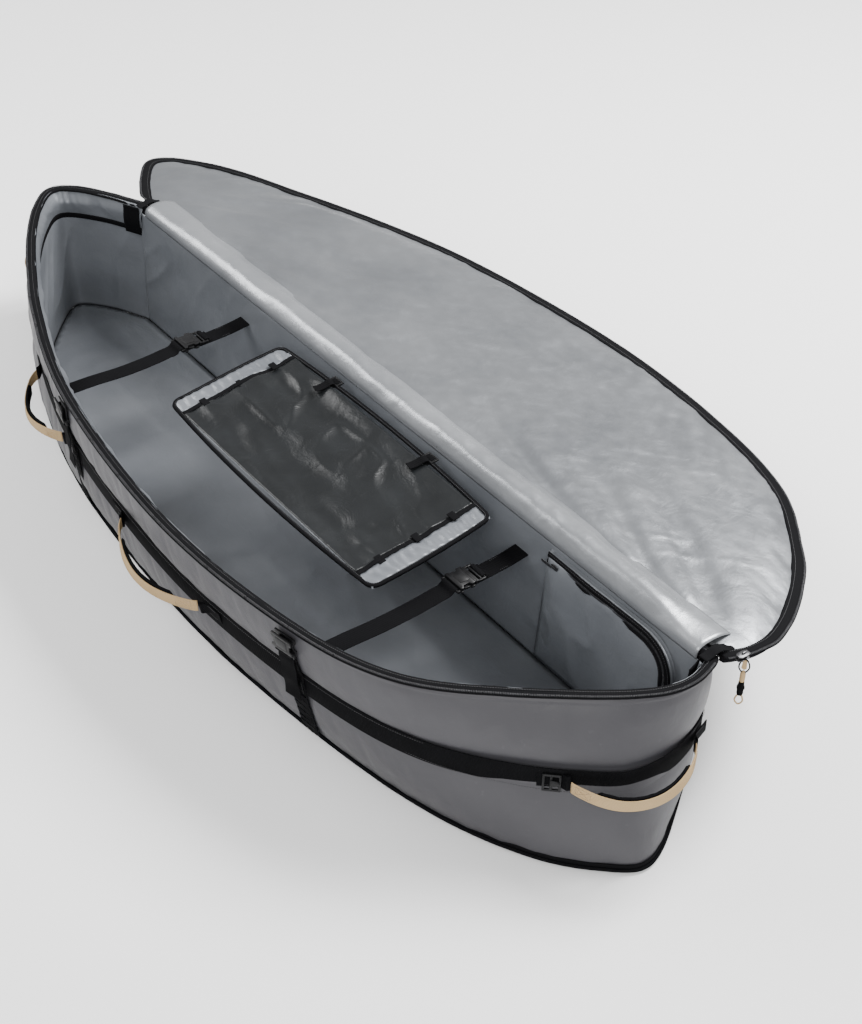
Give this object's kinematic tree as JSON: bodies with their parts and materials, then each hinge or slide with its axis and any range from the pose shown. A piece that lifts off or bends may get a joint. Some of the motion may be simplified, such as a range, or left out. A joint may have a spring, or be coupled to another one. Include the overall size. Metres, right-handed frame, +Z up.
{
  "type": "board travel bag",
  "caption": "Open padded travel bag for boards, with a hinged lid, zip rim, webbing load band, swinging handles, tie-down straps, zip pocket and mesh organiser.",
  "frame": {"origin": "middle of the flat bottom, on the surface that the bag stands on", "axes": "+X along the bag toward its tail, -Y toward the near long side that opens, +Z up"},
  "size_m": [2.1722, 1.1452, 0.3105],
  "materials": {
    "shell_grey": "satin coated tarpaulin",
    "lining_silver": "metallic satin film",
    "foam": "matte closed-cell foam",
    "webbing_black": "matte woven webbing",
    "webbing_tan": "matte woven webbing",
    "zip_tape": "matte woven tape",
    "zip_teeth": "satin coil",
    "buckle_plastic": "satin moulded",
    "mesh_dark": "open knit mesh",
    "binding_black": "matte binding tape",
    "slider_metal": "satin dark metal"
  },
  "bodies": {
    "tub": {"bottom_skin": "shell_grey", "bottom_foam": "foam", "bottom_lining": "lining_silver", "bottom_piping": "binding_black", "side_wall_skin": "shell_grey", "side_wall_foam": "foam", "side_wall_lining": "lining_silver", "rim_lip": "lining_silver", "lip_binding": "binding_black", "hinge_wall_skin": "shell_grey", "hinge_wall_foam": "foam", "hinge_wall_lining": "lining_silver", "tub_zip_tape": "zip_tape", "tub_zip_teeth": "zip_teeth", "hinge_roll": "lining_silver", "load_band": "webbing_black", "compression_strap_nose": "webbing_black", "compression_strap_tail": "webbing_black", "compression_socket_nose": "buckle_plastic", "compression_socket_tail": "buckle_plastic", "tie_strap_near_nose": "webbing_black", "tie_strap_far_nose": "webbing_black", "tie_strap_near_tail": "webbing_black", "tie_strap_far_tail": "webbing_black", "tie_socket_nose": "buckle_plastic", "tie_socket_tail": "buckle_plastic", "pocket_panel": "lining_silver", "pocket_zip": "zip_tape", "tail_hook": "buckle_plastic"},
    "lid": {"lid_skin": "shell_grey", "lid_foam": "foam", "lid_lining": "lining_silver", "lid_zip_tape": "zip_tape", "lid_zip_teeth": "zip_teeth", "lid_strap_nose": "webbing_black", "lid_strap_tail": "webbing_black", "main_slider": "slider_metal"},
    "zip_pull": {"zip_pull": "webbing_tan"},
    "lid_plug_nose": {"lid_plug_nose": "buckle_plastic"},
    "lid_plug_tail": {"lid_plug_tail": "buckle_plastic"},
    "tail_handle": {"tail_handle_webbing": "webbing_tan", "tail_handle_pad": "webbing_black"},
    "nose_handle": {"nose_handle_webbing": "webbing_tan", "nose_handle_pad": "webbing_black"},
    "middle_handle": {"middle_handle_webbing": "webbing_tan", "middle_handle_pad": "webbing_black"},
    "forward_handle": {"forward_handle_webbing": "webbing_tan", "forward_handle_pad": "webbing_black"},
    "tie_plug_nose": {"tie_plug_nose": "buckle_plastic"},
    "tie_plug_tail": {"tie_plug_tail": "buckle_plastic"},
    "pocket_slider": {"pocket_slider": "slider_metal"},
    "organiser": {"organiser_binding": "binding_black", "organiser_backing": "lining_silver", "organiser_mesh": "mesh_dark", "hang_strap_nose": "webbing_black", "hang_strap_tail": "webbing_black", "ladder_lock_nose": "buckle_plastic", "ladder_lock_tail": "buckle_plastic"}
  },
  "joints": [
    {"name": "lid_hinge", "type": "hinge", "parent": "tub", "child": "lid", "pos_m": [0, 0.262, 0.304], "axis": [1, 0, 0], "range_deg": [0, 187]},
    {"name": "zip_pull_swing", "type": "hinge", "parent": "lid", "child": "zip_pull", "pos_m": [0.97164, 0.29761, 0.29862], "axis": [0, -1, 0], "range_deg": [0, 150]},
    {"name": "lid_plug_nose_swing", "type": "hinge", "parent": "lid", "child": "lid_plug_nose", "pos_m": [-0.35, 0.74448, 0.21756], "axis": [1, 0, 0], "range_deg": [0, 80]},
    {"name": "lid_plug_tail_swing", "type": "hinge", "parent": "lid", "child": "lid_plug_tail", "pos_m": [0.455, 0.75902, 0.21577], "axis": [1, 0, 0], "range_deg": [0, 80]},
    {"name": "tail_handle_swing", "type": "hinge", "parent": "tub", "child": "tail_handle", "pos_m": [0.92169, -0.02132, 0.161], "axis": [-0.2988, -0.9543, 0], "range_deg": [-2, 36]},
    {"name": "nose_handle_swing", "type": "hinge", "parent": "tub", "child": "nose_handle", "pos_m": [-1.04099, 0.19395, 0.161], "axis": [-0.2446, 0.9696, 0], "range_deg": [-20, 10]},
    {"name": "middle_handle_swing", "type": "hinge", "parent": "tub", "child": "middle_handle", "pos_m": [-0.09071, -0.27774, 0.161], "axis": [-0.9999, 0.0159, 0], "range_deg": [-60, 40]},
    {"name": "forward_handle_swing", "type": "hinge", "parent": "tub", "child": "forward_handle", "pos_m": [-0.63147, -0.17986, 0.161], "axis": [-0.9663, 0.2575, 0], "range_deg": [-60, 40]},
    {"name": "tie_plug_nose_slide", "type": "slide", "parent": "tub", "child": "tie_plug_nose", "axis": [0, 1, 0], "range_m": [0, 0.034]},
    {"name": "tie_plug_tail_slide", "type": "slide", "parent": "tub", "child": "tie_plug_tail", "axis": [0, 1, 0], "range_m": [0, 0.034]},
    {"name": "pocket_slider_travel", "type": "slide", "parent": "tub", "child": "pocket_slider", "axis": [1, 0, 0], "range_m": [0, 0.2]},
    {"name": "organiser_lift", "type": "hinge", "parent": "tub", "child": "organiser", "pos_m": [0, 0.234, 0.28], "axis": [1, 0, 0], "range_deg": [-60, 38]}
  ]
}
